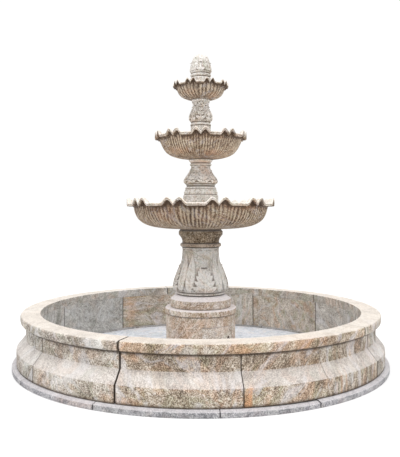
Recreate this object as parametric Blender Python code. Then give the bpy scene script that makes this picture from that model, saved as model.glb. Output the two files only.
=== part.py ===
"""A three-tier carved granite fountain in a round stone pool.

The stones are stacked dry around one riser pipe. A submersible pump stands in
the hollow plinth drum behind a loose access panel, and feeds the pipe through
a lever valve. The frame's origin is on the ground, under the fountain's axis.
Angles are in degrees from the front (-Y) towards +X. Lengths are in metres.
"""

import bpy
import bmesh
from math import cos, degrees, pi, radians, sin
from mathutils import Matrix, Vector

# Pool
KERB_RADIUS = 1.650
KERB_HEIGHT = 0.048
WALL_RADIUS = 1.611          # lower upright band
NECK_RADIUS = 1.534          # upper upright band
POOL_INNER_RADIUS = 1.412
WALL_ARRIS_HEIGHT = 0.176    # where the sloped band starts
WALL_NECK_HEIGHT = 0.270     # where it ends
COPING_BOTTOM = 0.388
COPING_TOP = 0.466
COPING_RADIUS = 1.578
FLOOR_THICKNESS = 0.031
FLOOR_HOLE_RADIUS = 0.030    # drain and cable hole under the pump
FLOOR_EDGE_JOINT = 0.004     # between the floor slabs and the kerb
KERB_STONES = 12
COPING_STONES = 5
FLOOR_SLABS = 4
KERB_JOINTS = (29.5, 364.3)  # the first joint and the last: the stone between closes the ring
WALL_JOINTS = (10.0, 33.0, 57.5, 90.0, 122.4, 155.3, 186.3, 217.2, 251.9, 280.4, 308.8, 339.1)
COPING_JOINTS = (-20.6, 267.4)
FLOOR_JOINTS = (45.0, 315.0)
JOINT_WIDTH = 0.003
OPEN_JOINT_WIDTH = 0.010     # the one joint that has opened, near the first coping joint
OPEN_JOINT_REACH = 1.0       # degrees
KERB_STEP = 5.0              # degrees between facets
RING_STEP = 7.5

# Centre column: the height of each bed joint
PLINTH_RADIUS = 0.314
PLINTH_WALL = 0.100
PLINTH_TOP = 0.412
PLINTH_CAP_TOP = 0.471
PEDESTAL_BASE_TOP = 0.581
MAIN_PEDESTAL_TOP = 1.008
CAPITAL_TOP = 1.170
LARGE_BOWL_BED = 1.222       # floor inside the bowl, where the next stone stands
MIDDLE_PLINTH_TOP = 1.560
MIDDLE_PEDESTAL_TOP = 1.800
MIDDLE_BOWL_BED = 1.850
UPPER_PEDESTAL_TOP = 2.338
SMALL_BOWL_BED = 2.370
FOUNTAIN_TOP = 2.746
BORE = 0.022                 # pipe bore through every stone
FACETS_PER_LOBE = 6          # puts facets on a scallop's notch, crests and flat
GAP = 0.0003                 # between touching pieces

# Access panel in the plinth drum
PANEL_START = 1.5
PANEL_END = 62.0
PANEL_TOP = 0.325
PANEL_THICKNESS = 0.050
PANEL_CLEARANCE = 0.0015
PANEL_FOOT = 0.003
FINGER_HOLE_HEIGHT = 0.220
FINGER_HOLES = ((51.0, 0.0110), (32.0, 0.0045))   # angle and radius

# Pipework and pump
PIPE_RADIUS = 0.0167
PIPE_BORE = 0.0125
RISER_TOP = 2.655
VALVE_HEIGHT = 0.275         # height of the lever's pivot
VALVE_HALF = 0.040
PUMP_HEIGHT = 0.082          # height of the pump's shaft
PUMP_FRONT = -0.022          # front face of the motor housing, along the shaft
PUMP_BACK = -0.165
PUMP_WIDTH = 0.096
VOLUTE_RADIUS = 0.045
VOLUTE_FRONT = 0.020
OUTLET_TOP = 0.062           # outlet stub's top above the shaft
STRAINER_FRONT = 0.085
STRAINER_SLOTS = 10
IMPELLER_VANES = 6

COLOURS = {
    "kerb_granite": ((0.50, 0.50, 0.51), 0.75),
    "wall_granite": ((0.55, 0.46, 0.38), 0.75),
    "coping_granite": ((0.62, 0.53, 0.44), 0.70),
    "floor_granite": ((0.66, 0.68, 0.70), 0.80),
    "plinth_granite": ((0.62, 0.51, 0.42), 0.75),
    "carved_granite": ((0.58, 0.55, 0.47), 0.80),
    "capital_granite": ((0.47, 0.40, 0.32), 0.80),
    "bowl_granite": ((0.52, 0.43, 0.34), 0.80),
    "white_pvc": ((0.80, 0.80, 0.78), 0.45),
    "black_plastic": ((0.03, 0.03, 0.035), 0.55),
    "red_plastic": ((0.55, 0.05, 0.04), 0.50),
    "black_rubber": ((0.04, 0.04, 0.04), 0.85),
    "brass": ((0.70, 0.52, 0.22), 0.30),
}
METALS = ("brass",)


def clear_scene():
    for item in list(bpy.data.objects):
        bpy.data.objects.remove(item)


def material(name):
    """The Principled material for one finish, made the first time it is asked for."""
    if name in bpy.data.materials:
        return bpy.data.materials[name]
    colour, roughness = COLOURS[name]
    made = bpy.data.materials.new(name)
    made.use_nodes = True
    shader = made.node_tree.nodes["Principled BSDF"]
    shader.inputs["Base Color"].default_value = (*colour, 1.0)
    shader.inputs["Roughness"].default_value = roughness
    shader.inputs["Metallic"].default_value = 1.0 if name in METALS else 0.0
    return made


def polar(radius, angle, height):
    """The point at an angle from the front, a radius from the axis and a height."""
    turn = radians(angle)
    return Vector((radius * sin(turn), -radius * cos(turn), height))


def finish_mesh(name, bm, finish, parent=None):
    """Closes a bmesh into a named object with outward faces and crisp edges."""
    bmesh.ops.remove_doubles(bm, verts=bm.verts, dist=1e-6)
    bmesh.ops.recalc_face_normals(bm, faces=bm.faces)
    mesh = bpy.data.meshes.new(name)
    bm.to_mesh(mesh)
    bm.free()
    mesh.materials.append(material(finish))
    mesh.shade_smooth()
    mesh.set_sharp_from_angle(angle=radians(35))
    made = bpy.data.objects.new(name, mesh)
    bpy.context.scene.collection.objects.link(made)
    made.parent = parent
    return made


def sweep(name, outline, finish, start=0.0, end=360.0, steps=24, shape=None, parent=None):
    """Turns a closed (radius, height) outline about Z from start to end degrees.

    shape, if given, takes the outline and an angle and returns the outline there.
    """
    bm = bmesh.new()
    whole = end - start >= 360.0
    stations = []
    for index in range(steps if whole else steps + 1):
        angle = start + (end - start) * index / steps
        points = shape(outline, angle) if shape else outline
        stations.append([bm.verts.new(polar(r, angle, z)) for r, z in points])
    for index in range(steps):
        here = stations[index]
        there = stations[(index + 1) % len(stations)]
        for low in range(len(outline)):
            high = (low + 1) % len(outline)
            bm.faces.new((here[low], here[high], there[high], there[low]))
    if not whole:
        bm.faces.new(stations[0])
        bm.faces.new(reversed(stations[-1]))
    return finish_mesh(name, bm, finish, parent)


def cylinder(name, radius, start, end, finish, parent=None, segments=16, turn=None):
    """A closed cylinder along Z from start to end, then turned by a matrix."""
    bm = bmesh.new()
    bmesh.ops.create_cone(bm, cap_ends=True, segments=segments, radius1=radius,
                          radius2=radius, depth=end - start)
    bmesh.ops.translate(bm, verts=bm.verts, vec=(0, 0, (start + end) / 2))
    if turn:
        bmesh.ops.transform(bm, matrix=turn, verts=bm.verts)
    return finish_mesh(name, bm, finish, parent)


def block(name, low, high, finish, parent=None, bevel=0.0):
    """A closed box between two corners, with its edges bevelled if asked."""
    bm = bmesh.new()
    bmesh.ops.create_cube(bm, size=1.0)
    size = Vector(high) - Vector(low)
    middle = (Vector(high) + Vector(low)) / 2
    bmesh.ops.scale(bm, verts=bm.verts, vec=size)
    bmesh.ops.translate(bm, verts=bm.verts, vec=middle)
    if bevel:
        bmesh.ops.bevel(bm, geom=list(bm.edges), offset=bevel, segments=2,
                        profile=0.5, affect="EDGES")
    return finish_mesh(name, bm, finish, parent)


def combine(target, tool, operation):
    """Adds a Boolean to target, and hides the tool object as a guide."""
    modifier = target.modifiers.new(operation.lower(), "BOOLEAN")
    modifier.operation = operation
    modifier.solver = "EXACT"
    modifier.object = tool
    tool.hide_render = True
    tool.display_type = "WIRE"


def even_joints(count, joints):
    """Joint angles of a ring of stones, even from the first joint to the last."""
    first, last = joints
    return [first + (last - first) * index / (count - 1) for index in range(count)]


def stone_ends(joints):
    """Both ends of each stone between a ring's joints; the last stone closes the ring."""
    return list(zip(joints, list(joints[1:]) + [joints[0] + 360.0]))


def joint_trim(angle, radius):
    """Half of a stone joint's width, as degrees at a radius."""
    away = abs((angle - COPING_JOINTS[0] + 180) % 360 - 180)
    width = OPEN_JOINT_WIDTH if away < OPEN_JOINT_REACH else JOINT_WIDTH
    return degrees(width / 2 / radius)


def stone_ring(stem, outline, finish, joints, facet=RING_STEP):
    """A ring of arc stones, numbered from the first joint, with joints between."""
    radius = max(r for r, z in outline)
    for index, (left, right) in enumerate(stone_ends(joints)):
        start = left + joint_trim(left, radius)
        end = right - joint_trim(right, radius)
        steps = round((right - left) / facet)
        sweep(f"{stem}_{index + 1:02d}", outline, finish, start, end, steps=steps)


def pool():
    """Kerb stones, wall stones, coping stones and floor slabs."""
    kerb_chamfer = 0.008
    kerb = [
        (POOL_INNER_RADIUS, 0.0),
        (KERB_RADIUS, 0.0),
        (KERB_RADIUS, KERB_HEIGHT - kerb_chamfer),
        (KERB_RADIUS - kerb_chamfer, KERB_HEIGHT),
        (POOL_INNER_RADIUS, KERB_HEIGHT),
    ]
    kerb_joints = even_joints(KERB_STONES, KERB_JOINTS)
    stone_ring("kerb_stone", kerb, "kerb_granite", kerb_joints, KERB_STEP)

    wall = [
        (POOL_INNER_RADIUS, KERB_HEIGHT + GAP),
        (WALL_RADIUS, KERB_HEIGHT + GAP),
        (WALL_RADIUS, WALL_ARRIS_HEIGHT),
        (NECK_RADIUS, WALL_NECK_HEIGHT),
        (NECK_RADIUS, COPING_BOTTOM - GAP),
        (POOL_INNER_RADIUS, COPING_BOTTOM - GAP),
    ]
    stone_ring("wall_stone", wall, "wall_granite", WALL_JOINTS)

    nose = (COPING_TOP - COPING_BOTTOM) / 2
    coping = [(POOL_INNER_RADIUS, COPING_BOTTOM)]
    for index in range(5):
        turn = -pi / 2 + pi * index / 4
        coping.append((COPING_RADIUS - nose + nose * cos(turn), COPING_BOTTOM + nose + nose * sin(turn)))
    coping.append((POOL_INNER_RADIUS, COPING_TOP))
    coping_joints = even_joints(COPING_STONES, COPING_JOINTS)
    stone_ring("coping_stone", coping, "coping_granite", coping_joints)

    floor = [
        (FLOOR_HOLE_RADIUS, 0.0),
        (POOL_INNER_RADIUS - FLOOR_EDGE_JOINT, 0.0),
        (POOL_INNER_RADIUS - FLOOR_EDGE_JOINT, FLOOR_THICKNESS),
        (FLOOR_HOLE_RADIUS, FLOOR_THICKNESS),
    ]
    half_joint = degrees(JOINT_WIDTH / 2 / POOL_INNER_RADIUS)
    for index, (left, right) in enumerate(stone_ends(even_joints(FLOOR_SLABS, FLOOR_JOINTS))):
        sweep(f"floor_slab_{index + 1}", floor, "floor_granite", left + half_joint,
              right - half_joint, steps=round((right - left) / RING_STEP))


def plinth():
    """The hollow drum with its access panel, and the cap slab on it."""
    bottom = FLOOR_THICKNESS + GAP
    inner = PLINTH_RADIUS - PLINTH_WALL
    drum = sweep("plinth_drum", [
        (inner, bottom),
        (PLINTH_RADIUS, bottom),
        (PLINTH_RADIUS, PLINTH_TOP - GAP),
        (inner, PLINTH_TOP - GAP),
    ], "plinth_granite", steps=36)
    doorway = sweep("doorway_cutter", [
        (inner * 0.6, -bottom),
        (PLINTH_RADIUS * 1.3, -bottom),
        (PLINTH_RADIUS * 1.3, PANEL_TOP),
        (inner * 0.6, PANEL_TOP),
    ], "plinth_granite", PANEL_START, PANEL_END, steps=4)
    combine(drum, doorway, "DIFFERENCE")

    trim = degrees(PANEL_CLEARANCE / PLINTH_RADIUS)
    outer = PLINTH_RADIUS - GAP
    panel = sweep("access_panel", [
        (outer - PANEL_THICKNESS, bottom + PANEL_FOOT),
        (outer, bottom + PANEL_FOOT),
        (outer, PANEL_TOP - PANEL_FOOT),
        (outer - PANEL_THICKNESS, PANEL_TOP - PANEL_FOOT),
    ], "plinth_granite", PANEL_START + trim, PANEL_END - trim, steps=8)
    for index, (angle, radius) in enumerate(FINGER_HOLES):
        aim = Matrix.Rotation(radians(angle), 4, "Z") @ Matrix.Rotation(pi / 2, 4, "X")
        place = Matrix.Translation((0, 0, FINGER_HOLE_HEIGHT))
        drill = cylinder(f"finger_hole_cutter_{index + 1}", radius, inner, PLINTH_RADIUS * 1.2,
                         "plinth_granite", segments=12, turn=place @ aim)
        combine(panel, drill, "DIFFERENCE")

    sweep("plinth_cap", [
        (BORE, PLINTH_TOP),
        (0.316, PLINTH_TOP),
        (0.323, 0.420),
        (0.323, 0.458),
        (0.318, 0.468),
        (0.309, PLINTH_CAP_TOP - GAP),
        (BORE, PLINTH_CAP_TOP - GAP),
    ], "plinth_granite", steps=36)


def turned_stone(name, outline, bottom, top, finish, steps=20):
    """A stone turned about the axis, bored for the pipe, between two bed joints."""
    foot = outline[0][0]
    head = outline[-1][0]
    ends = [(BORE, bottom + GAP), (foot, bottom + GAP)]
    closing = [(head, top - GAP), (BORE, top - GAP)]
    return sweep(name, ends + outline[1:-1] + closing, finish, steps=steps)


def pedestals():
    """The turned stones between the plinth and the bowls, bottom to top."""
    turned_stone("pedestal_base", [
        (0.275, 0.471), (0.275, 0.543), (0.270, 0.549), (0.262, 0.551), (0.2235, 0.581),
    ], PLINTH_CAP_TOP, PEDESTAL_BASE_TOP, "carved_granite", steps=24)
    turned_stone("main_pedestal", [
        (0.212, 0.581), (0.219, 0.589), (0.219, 0.603), (0.215, 0.610), (0.234, 0.619),
        (0.249, 0.643), (0.249, 0.666), (0.241, 0.708), (0.224, 0.753), (0.207, 0.799),
        (0.190, 0.844), (0.179, 0.890), (0.173, 0.935), (0.169, 1.008),
    ], PEDESTAL_BASE_TOP, MAIN_PEDESTAL_TOP, "carved_granite", steps=24)
    turned_stone("pedestal_capital", [
        (0.170, 1.008), (0.184, 1.014), (0.188, 1.028), (0.183, 1.041), (0.169, 1.047),
        (0.167, 1.060), (0.176, 1.090), (0.199, 1.122), (0.199, 1.148), (0.188, 1.170),
    ], MAIN_PEDESTAL_TOP, CAPITAL_TOP, "capital_granite", steps=24)
    turned_stone("middle_plinth", [
        (0.160, 1.222), (0.160, 1.470), (0.153, 1.482), (0.153, 1.516), (0.142, 1.534),
        (0.128, 1.554), (0.128, 1.560),
    ], LARGE_BOWL_BED, MIDDLE_PLINTH_TOP, "carved_granite")
    turned_stone("middle_pedestal", [
        (0.130, 1.560), (0.131, 1.571), (0.144, 1.585), (0.150, 1.606), (0.137, 1.634),
        (0.108, 1.670), (0.093, 1.707), (0.089, 1.740), (0.097, 1.756), (0.089, 1.770),
        (0.100, 1.783), (0.107, 1.800),
    ], MIDDLE_PLINTH_TOP, MIDDLE_PEDESTAL_TOP, "carved_granite")
    turned_stone("upper_pedestal", [
        (0.098, 1.850), (0.098, 2.040), (0.090, 2.070), (0.090, 2.122), (0.086, 2.134),
        (0.097, 2.145), (0.102, 2.162), (0.098, 2.203), (0.086, 2.230), (0.074, 2.250),
        (0.072, 2.290), (0.080, 2.312), (0.080, 2.338),
    ], MIDDLE_BOWL_BED, UPPER_PEDESTAL_TOP, "carved_granite")


def scallop(angle, lobes, notch_angle):
    """Height of the lip's wave, 0 to 1: a sharp notch, a crest each side, then flat."""
    away = abs(((angle - notch_angle) * lobes / 360.0 + 0.5) % 1.0 - 0.5)
    crest = 0.15
    foot = 0.29
    if away < crest:
        return away / crest
    if away < foot:
        return 0.5 + 0.5 * cos(pi * (away - crest) / (foot - crest))
    return 0.0


def scalloped_bowl(name, outline, lobes, notch_angle, lift):
    """A bowl whose lip rises and falls; each outline point says how far it follows."""
    def shape(points, angle):
        wave = lift * scallop(angle, lobes, notch_angle)
        return [(r, z + follow * wave) for r, z, follow in points]
    return sweep(name, outline, "bowl_granite", notch_angle, notch_angle + 360.0,
                 steps=lobes * FACETS_PER_LOBE, shape=shape)


def bowls():
    """The three scalloped bowls, their lips following one wave."""
    scalloped_bowl("large_bowl", [
        (BORE, CAPITAL_TOP, 0), (0.200, CAPITAL_TOP, 0), (0.345, 1.181, 0), (0.453, 1.200, 0),
        (0.525, 1.236, 0), (0.569, 1.281, 0), (0.596, 1.335, 0.1), (0.609, 1.371, 0.7),
        (0.661, 1.377, 1), (0.666, 1.391, 1), (0.660, 1.402, 1), (0.600, 1.386, 0.7),
        (0.555, 1.320, 0.1), (0.480, 1.252, 0), (0.330, 1.228, 0), (0.172, LARGE_BOWL_BED, 0),
        (BORE, LARGE_BOWL_BED, 0),
    ], lobes=11, notch_angle=12.9, lift=0.047)
    scalloped_bowl("middle_bowl", [
        (BORE, MIDDLE_PEDESTAL_TOP, 0), (0.110, MIDDLE_PEDESTAL_TOP, 0), (0.235, 1.823, 0),
        (0.290, 1.850, 0), (0.326, 1.894, 0), (0.361, 1.948, 0.1), (0.379, 1.970, 0.7),
        (0.409, 1.977, 1), (0.414, 1.990, 1), (0.408, 2.004, 1), (0.372, 1.985, 0.7),
        (0.335, 1.922, 0.1), (0.270, 1.868, 0), (0.108, MIDDLE_BOWL_BED, 0),
        (BORE, MIDDLE_BOWL_BED, 0),
    ], lobes=10, notch_angle=0.0, lift=0.038)
    scalloped_bowl("small_bowl", [
        (BORE, UPPER_PEDESTAL_TOP, 0), (0.100, UPPER_PEDESTAL_TOP, 0), (0.167, 2.363, 0),
        (0.194, 2.391, 0), (0.209, 2.417, 0.1), (0.219, 2.435, 0.7), (0.246, 2.443, 1),
        (0.250, 2.452, 1), (0.246, 2.462, 1), (0.216, 2.447, 0.7), (0.184, 2.408, 0.1),
        (0.140, 2.378, 0), (0.098, SMALL_BOWL_BED, 0), (BORE, SMALL_BOWL_BED, 0),
    ], lobes=9, notch_angle=18.5, lift=0.032)


def finial():
    """The leaf bud on top, with a narrower bore at its tip for the nozzle."""
    tip_bore = 0.0125
    sweep("leaf_finial", [
        (BORE, SMALL_BOWL_BED + GAP), (0.090, SMALL_BOWL_BED + GAP), (0.095, 2.420), (0.095, 2.526),
        (0.086, 2.544), (0.091, 2.556), (0.090, 2.572), (0.097, 2.586), (0.096, 2.600),
        (0.087, 2.628), (0.082, 2.655), (0.072, 2.676), (0.068, 2.700), (0.060, 2.720),
        (0.045, 2.735), (0.025, FOUNTAIN_TOP), (tip_bore, FOUNTAIN_TOP), (tip_bore, 2.696),
        (BORE, 2.690),
    ], "carved_granite", steps=20)


def pipework():
    """The riser pipe, its grommets where it passes each bowl, and the jet nozzle."""
    foot = VALVE_HEIGHT + VALVE_HALF + GAP
    sweep("riser_pipe", [
        (PIPE_BORE, foot), (PIPE_RADIUS, foot), (PIPE_RADIUS, RISER_TOP), (PIPE_BORE, RISER_TOP),
    ], "white_pvc", steps=12)
    nozzle_bore = 0.004
    nozzle_foot = RISER_TOP + GAP
    nozzle_tip = FOUNTAIN_TOP - 0.002
    sweep("jet_nozzle", [
        (nozzle_bore, nozzle_foot), (PIPE_RADIUS, nozzle_foot), (PIPE_RADIUS, 2.684),
        (0.0115, 2.692), (0.0115, nozzle_tip), (nozzle_bore, nozzle_tip),
    ], "brass", steps=12)
    for name, bottom, top in (
        ("large_bowl_grommet", CAPITAL_TOP, LARGE_BOWL_BED),
        ("middle_bowl_grommet", MIDDLE_PEDESTAL_TOP, MIDDLE_BOWL_BED),
        ("small_bowl_grommet", UPPER_PEDESTAL_TOP, SMALL_BOWL_BED),
    ):
        low = bottom + 0.004
        high = top - 0.004
        sweep(name, [
            (PIPE_RADIUS + GAP, low), (BORE - GAP, low), (BORE - GAP, high), (PIPE_RADIUS + GAP, high),
        ], "black_rubber", steps=12)


def frame_empty(name, height):
    """An empty on the axis whose Z points at the access panel and whose Y points up."""
    middle = radians((PANEL_START + PANEL_END) / 2)
    out = Vector((sin(middle), -cos(middle), 0))
    up = Vector((0, 0, 1))
    across = up.cross(out)
    empty = bpy.data.objects.new(name, None)
    bpy.context.scene.collection.objects.link(empty)
    axes = Matrix((across, up, out)).transposed().to_4x4()
    empty.matrix_world = Matrix.Translation((0, 0, height)) @ axes
    return empty


def pump():
    """The submersible pump: housing, volute, impeller, strainer, gland and outlet."""
    frame = frame_empty("pump_frame", PUMP_HEIGHT)
    upright = Matrix.Rotation(-pi / 2, 4, "X")
    foot = FLOOR_THICKNESS + GAP - PUMP_HEIGHT
    half = PUMP_WIDTH / 2
    body = block("pump_body", (-half, foot, PUMP_BACK), (half, half, PUMP_FRONT),
                 "black_plastic", frame, bevel=0.010)
    shaft_bore = cylinder("shaft_bore_cutter", 0.0048, -0.056, 0.0, "black_plastic", frame, 12)
    combine(body, shaft_bore, "DIFFERENCE")

    volute = sweep("pump_volute", [
        (0.034, PUMP_FRONT + GAP), (VOLUTE_RADIUS, PUMP_FRONT + GAP), (VOLUTE_RADIUS, VOLUTE_FRONT),
        (0.016, VOLUTE_FRONT), (0.016, VOLUTE_FRONT - 0.004), (0.034, VOLUTE_FRONT - 0.004),
    ], "black_plastic", steps=20, parent=frame)
    stub = cylinder("outlet_stub_guide", PIPE_RADIUS, 0.038, OUTLET_TOP, "black_plastic", frame,
                    12, upright)
    outlet = cylinder("outlet_bore_cutter", PIPE_BORE, 0.020, OUTLET_TOP + 0.02, "black_plastic",
                      frame, 12, upright)
    combine(volute, stub, "UNION")
    combine(volute, outlet, "DIFFERENCE")

    impeller(frame)

    front = STRAINER_FRONT
    wall = 0.003
    strainer = sweep("pump_strainer", [
        (VOLUTE_RADIUS - wall, VOLUTE_FRONT + GAP), (VOLUTE_RADIUS, VOLUTE_FRONT + GAP),
        (VOLUTE_RADIUS, front - 0.006), (VOLUTE_RADIUS - 0.006, front), (0.0, front),
        (0.0, front - wall), (VOLUTE_RADIUS - 0.007, front - wall), (VOLUTE_RADIUS - wall, front - 0.007),
    ], "black_plastic", steps=20, parent=frame)
    for index in range(STRAINER_SLOTS // 2):
        slot = block(f"slot_cutter_{index + 1}", (-0.0030, -0.060, 0.030), (0.0030, 0.060, 0.072),
                     "black_plastic", frame)
        slot.rotation_euler = (0, 0, 2 * pi * index / STRAINER_SLOTS + radians(9))
        combine(strainer, slot, "DIFFERENCE")

    sweep("cable_gland", [
        (0.003, PUMP_BACK - 0.024), (0.007, PUMP_BACK - 0.024), (0.009, PUMP_BACK - 0.014),
        (0.012, PUMP_BACK - 0.014), (0.012, PUMP_BACK - GAP), (0.003, PUMP_BACK - GAP),
    ], "black_plastic", steps=12, parent=frame)

    nipple_foot = PUMP_HEIGHT + OUTLET_TOP + GAP
    nipple_top = VALVE_HEIGHT - VALVE_HALF - GAP
    sweep("outlet_nipple", [
        (PIPE_BORE, nipple_foot), (PIPE_RADIUS, nipple_foot), (PIPE_RADIUS, nipple_top),
        (PIPE_BORE, nipple_top),
    ], "white_pvc", steps=12)


def impeller(frame):
    """A hub with straight vanes on a shaft, turning about the pump's own axis."""
    hub = 0.009
    tip = 0.030
    half_vane = 0.002
    bm = bmesh.new()
    corners = []
    for index in range(IMPELLER_VANES):
        turn = 2 * pi * index / IMPELLER_VANES
        along = Vector((cos(turn), sin(turn), 0))
        across = Vector((-sin(turn), cos(turn), 0))
        for reach, side in ((hub, -half_vane), (tip, -half_vane), (tip, half_vane), (hub, half_vane)):
            corners.append(bm.verts.new(along * reach + across * side + Vector((0, 0, -0.017))))
    base = bm.faces.new(corners)
    raised = bmesh.ops.extrude_face_region(bm, geom=[base])
    top = [item for item in raised["geom"] if isinstance(item, bmesh.types.BMVert)]
    bmesh.ops.translate(bm, verts=top, vec=(0, 0, 0.024))
    wheel = finish_mesh("pump_impeller", bm, "brass", frame)
    shaft = cylinder("impeller_shaft_guide", 0.004, -0.050, -0.010, "brass", frame, 10)
    combine(wheel, shaft, "UNION")


def valve():
    """The quarter-turn valve in the pipe: its body, and the lever on its stem."""
    frame = frame_empty("valve_frame", VALVE_HEIGHT)
    low = VALVE_HEIGHT - VALVE_HALF
    high = VALVE_HEIGHT + VALVE_HALF
    body = sweep("valve_body", [
        (PIPE_BORE, low), (0.024, low), (0.024, low + 0.018), (0.029, low + 0.028),
        (0.029, high - 0.028), (0.024, high - 0.018), (0.024, high), (PIPE_BORE, high),
    ], "white_pvc", steps=16)
    boss = cylinder("stem_boss_guide", 0.011, 0.020, 0.040, "white_pvc", frame, 12)
    stem_bore = cylinder("stem_bore_cutter", 0.0060, 0.006, 0.060, "white_pvc", frame, 12)
    combine(body, boss, "UNION")
    combine(body, stem_bore, "DIFFERENCE")
    lever = block("valve_lever", (-0.009, -0.012, 0.0415), (0.009, 0.085, 0.0475), "red_plastic",
                  frame, bevel=0.0015)
    stem = cylinder("lever_stem_guide", 0.0054, 0.015, 0.044, "red_plastic", frame, 12)
    combine(lever, stem, "UNION")


def build():
    clear_scene()
    pool()
    plinth()
    pedestals()
    bowls()
    finial()
    pipework()
    pump()
    valve()
    bpy.context.view_layer.update()


build()
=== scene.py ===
import math
import bpy
import numpy as np
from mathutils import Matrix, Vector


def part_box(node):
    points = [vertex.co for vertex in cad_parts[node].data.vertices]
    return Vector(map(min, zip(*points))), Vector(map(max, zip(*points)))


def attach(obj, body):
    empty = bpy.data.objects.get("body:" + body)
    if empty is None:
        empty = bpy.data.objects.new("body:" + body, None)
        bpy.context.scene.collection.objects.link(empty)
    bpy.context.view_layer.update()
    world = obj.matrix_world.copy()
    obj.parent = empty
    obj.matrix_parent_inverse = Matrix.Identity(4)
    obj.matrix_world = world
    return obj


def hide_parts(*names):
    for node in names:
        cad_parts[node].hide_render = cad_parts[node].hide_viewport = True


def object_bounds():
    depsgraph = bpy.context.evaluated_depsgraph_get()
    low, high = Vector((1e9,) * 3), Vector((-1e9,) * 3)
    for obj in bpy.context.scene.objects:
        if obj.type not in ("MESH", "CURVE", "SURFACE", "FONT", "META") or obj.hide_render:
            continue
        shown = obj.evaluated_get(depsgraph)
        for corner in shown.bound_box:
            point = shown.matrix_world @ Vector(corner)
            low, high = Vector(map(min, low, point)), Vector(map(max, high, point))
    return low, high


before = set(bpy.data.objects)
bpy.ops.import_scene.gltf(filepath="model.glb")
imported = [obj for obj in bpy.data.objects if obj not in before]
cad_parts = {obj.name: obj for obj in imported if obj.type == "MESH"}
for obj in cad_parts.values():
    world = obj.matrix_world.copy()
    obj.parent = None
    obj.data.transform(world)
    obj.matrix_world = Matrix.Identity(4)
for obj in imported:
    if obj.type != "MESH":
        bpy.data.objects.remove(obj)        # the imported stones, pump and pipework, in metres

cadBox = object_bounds()

# Small tools for making surfaces


def polar(radius, angle, height):
    # Points at a radius and height, at an angle in degrees from the front (-Y) towards +X
    turn = np.radians(angle)
    return np.stack(np.broadcast_arrays(radius * np.sin(turn), -radius * np.cos(turn), height), axis=-1)


def span(node):
    # The heights of a CAD node's underside and top
    low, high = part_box(node)
    return low[2], high[2]


def smoothStep(low, high, value):
    # 0 below low, 1 above high, and a cubic ease between
    t = np.clip((value - low) / (high - low), 0.0, 1.0)
    return t * t * (3.0 - 2.0 * t)


def softNoise(u, v, seed):
    # Random heights on a whole-number lattice, eased between with a cubic, from -1 to 1
    lattice = np.random.default_rng(seed).uniform(-1.0, 1.0, (64, 64))
    i = np.floor(u).astype(int)
    j = np.floor(v).astype(int)
    a = smoothStep(0.0, 1.0, u - i)
    b = smoothStep(0.0, 1.0, v - j)
    low = lattice[i % 64, j % 64] * (1 - a) + lattice[(i + 1) % 64, j % 64] * a
    high = lattice[i % 64, (j + 1) % 64] * (1 - a) + lattice[(i + 1) % 64, (j + 1) % 64] * a
    return low * (1 - b) + high * b


def cutCorners(outline, times):
    # Each pass puts points a quarter and three quarters along every side of a closed outline
    outline = np.asarray(outline, float)
    for _ in range(times):
        after = np.roll(outline, -1, axis=0)
        pair = np.stack([0.75 * outline + 0.25 * after, 0.25 * outline + 0.75 * after], axis=1)
        outline = pair.reshape(-1, outline.shape[1])
    return outline


def roundCorners(corners, steps=4):
    # Each corner (r, z, size) becomes a parabola from size before it to size after it
    corners = np.asarray(corners, float)
    place = corners[:, :2]
    size = corners[:, 2:]
    back = np.roll(place, 1, axis=0) - place
    ahead = np.roll(place, -1, axis=0) - place
    start = place + back / np.linalg.norm(back, axis=1, keepdims=True) * size
    end = place + ahead / np.linalg.norm(ahead, axis=1, keepdims=True) * size
    t = np.linspace(0.0, 1.0, steps + 1)[None, :, None]
    curve = (1 - t) ** 2 * start[:, None] + 2 * t * (1 - t) * place[:, None] + t * t * end[:, None]
    return curve.reshape(-1, 2)


def evenly(outline, spacing):
    # The same closed outline with its points a steady distance apart along it. Where the third
    # column (how much is carved there) is small, the points lie further apart.
    loop = np.vstack([outline, outline[:1]])
    length = np.linalg.norm(np.diff(loop[:, :2], axis=0), axis=1)
    share = np.ones(len(length))
    if outline.shape[1] > 2:
        share = np.clip((loop[1:, 2] + loop[:-1, 2]) / 2, 0.12, 1.0)
    along = np.concatenate([[0.0], np.cumsum(length * share)])
    places = np.linspace(0.0, along[-1], max(int(along[-1] / spacing), 8), endpoint=False)
    return np.stack([np.interp(places, along, column) for column in loop.T], axis=1)


def supported(outline, spacing, edge=0.002):
    # Keeps every corner, and adds points along each long side: one close to each end, so that
    # the shading stays crisp, and the rest a steady distance apart.
    pieces = []
    for start, end in zip(outline, np.roll(outline, -1, axis=0)):
        length = np.linalg.norm(end - start)
        t = np.zeros(1)
        if length > 3 * edge:
            inner = np.linspace(edge / length, 1 - edge / length, max(int(length / spacing), 1) + 1)
            t = np.concatenate([t, inner])
        pieces.append(start + (end - start) * t[:, None])
    return np.vstack(pieces)


def outward(outline):
    # Unit normals of a closed outline in (r, z), pointing out of it
    step = np.roll(outline, -1, axis=0) - np.roll(outline, 1, axis=0)
    normal = np.stack([step[:, 1], -step[:, 0]], axis=1)
    normal /= np.maximum(np.linalg.norm(normal, axis=1, keepdims=True), 1e-9)
    after = np.roll(outline, -1, axis=0)
    area = (outline[:, 0] * after[:, 1] - after[:, 0] * outline[:, 1]).sum()
    return normal * np.sign(area)


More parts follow.
